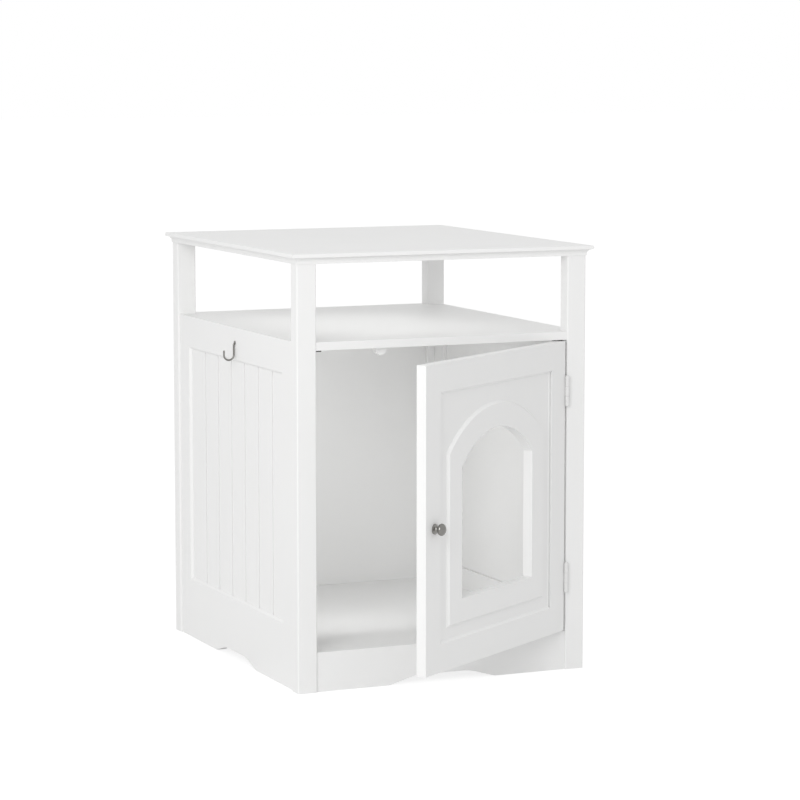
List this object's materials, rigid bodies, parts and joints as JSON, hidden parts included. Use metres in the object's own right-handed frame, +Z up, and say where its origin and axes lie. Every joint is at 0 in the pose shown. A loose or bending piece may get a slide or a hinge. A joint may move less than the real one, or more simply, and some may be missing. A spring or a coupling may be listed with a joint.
{
  "type": "cat litter box cabinet",
  "caption": "White night-stand cabinet that hides a cat litter tray: open bay under the top, closed litter room below, side-hung door with an arched cat entry.",
  "frame": {"origin": "on the floor, at the middle of the rectangle that the four posts' feet stand on", "axes": "+Z up, the front with the door faces -Y, +X to the right as seen from the front"},
  "size_m": [0.4851, 0.7635, 0.635],
  "materials": {
    "white_paint": "satin white paint over smooth board",
    "nickel": "dark polished nickel plate",
    "white_enamel": "white enamel on steel hinges",
    "black_enamel": "black enamel on steel brackets",
    "zinc_steel": "bright zinc plate",
    "zinc_casting": "dull zinc die casting",
    "white_plastic": "glossy moulded white plastic",
    "ferrite": "dark sintered ferrite",
    "beech": "plain beech with fluted sides"
  },
  "bodies": {
    "cabinet": {"back_panel": "white_paint", "beadboard_panel_left": "white_paint", "beadboard_panel_right": "white_paint", "bracket_screws": "zinc_steel", "cam_bolts": "zinc_steel", "cam_discs": "zinc_casting", "catch_housing": "white_plastic", "catch_magnet": "ferrite", "catch_pole_plates": "zinc_steel", "catch_screws": "zinc_steel", "cleat_screws": "zinc_steel", "floor_cleat_left": "white_paint", "floor_cleat_right": "white_paint", "floor_panel": "white_paint", "front_apron": "white_paint", "hinge_lower_pin": "white_enamel", "hinge_lower_post_leaf": "white_enamel", "hinge_screws_post": "zinc_steel", "hinge_upper_pin": "white_enamel", "hinge_upper_post_leaf": "white_enamel", "post_back_left": "white_paint", "post_back_right": "white_paint", "post_front_left": "white_paint", "post_front_right": "white_paint", "scoop_hook": "nickel", "shelf": "white_paint", "shelf_brackets": "black_enamel", "side_dowels": "beech", "side_frame_left": "white_paint", "side_frame_right": "white_paint", "top_board": "white_paint"},
    "door": {"door_knob": "nickel", "door_panel": "white_paint", "hinge_lower_door_leaf": "white_enamel", "hinge_screws_door": "zinc_steel", "hinge_upper_door_leaf": "white_enamel", "knob_screw": "zinc_steel", "strike_plate": "zinc_steel", "strike_screw": "zinc_steel"}
  },
  "joints": [
    {"name": "door_hinge", "type": "hinge", "parent": "cabinet", "child": "door", "pos_m": [0.199, -0.2668, 0.28], "axis": [0, 0, 1], "range_deg": [-34.4, 140]}
  ]
}
